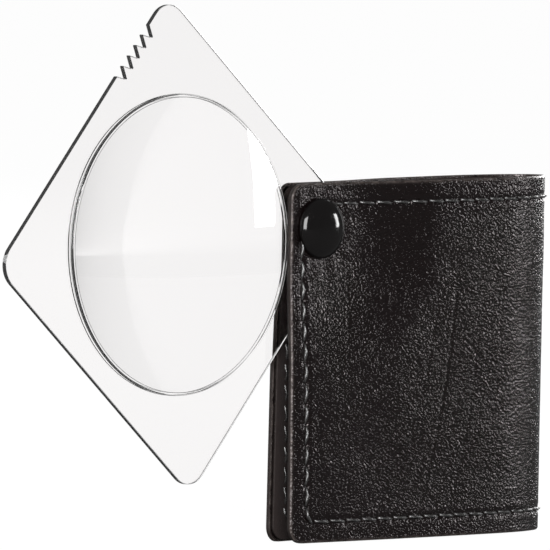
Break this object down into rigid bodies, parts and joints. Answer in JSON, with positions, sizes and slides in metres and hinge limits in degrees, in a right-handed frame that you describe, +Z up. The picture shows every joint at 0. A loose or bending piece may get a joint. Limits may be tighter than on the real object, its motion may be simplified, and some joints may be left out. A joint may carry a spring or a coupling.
{
  "type": "folding pocket magnifier",
  "caption": "Square clear plate with a moulded round lens, swinging on a domed rivet out of a folded, stitched black leather case.",
  "frame": {"origin": "under the middle of the whole object in plan, on the surface that the case stands on, with the lens swung out as at rest", "axes": "+X from the open side of the case towards its fold, +Y from the front panel to the back panel, +Z up along the fold"},
  "size_m": [0.1279, 0.016, 0.092],
  "materials": {
    "leather": "satin",
    "lining": "matte",
    "thread": "satin",
    "clear_acrylic": "gloss",
    "black_lacquer": "gloss",
    "steel": "satin",
    "nylon": "satin"
  },
  "bodies": {
    "case": {"leather_cover": "leather", "lining": "lining", "upper_top_thread": "thread", "lower_top_thread": "thread", "upper_bobbin_thread": "thread", "lower_bobbin_thread": "thread", "front_cap": "black_lacquer", "back_cap": "black_lacquer", "rivet_post": "steel", "front_washer": "nylon", "back_washer": "nylon"},
    "lens": {"lens_plate": "clear_acrylic"}
  },
  "joints": [
    {"name": "lens_swing", "type": "hinge", "parent": "case", "child": "lens", "pos_m": [0.00766, 0, 0.0534], "axis": [0, -1, 0], "range_deg": [-112, 131.4], "deforming": ["leather_cover", "lining", "upper_bobbin_thread", "lower_bobbin_thread", "upper_top_thread", "lower_top_thread"]}
  ]
}
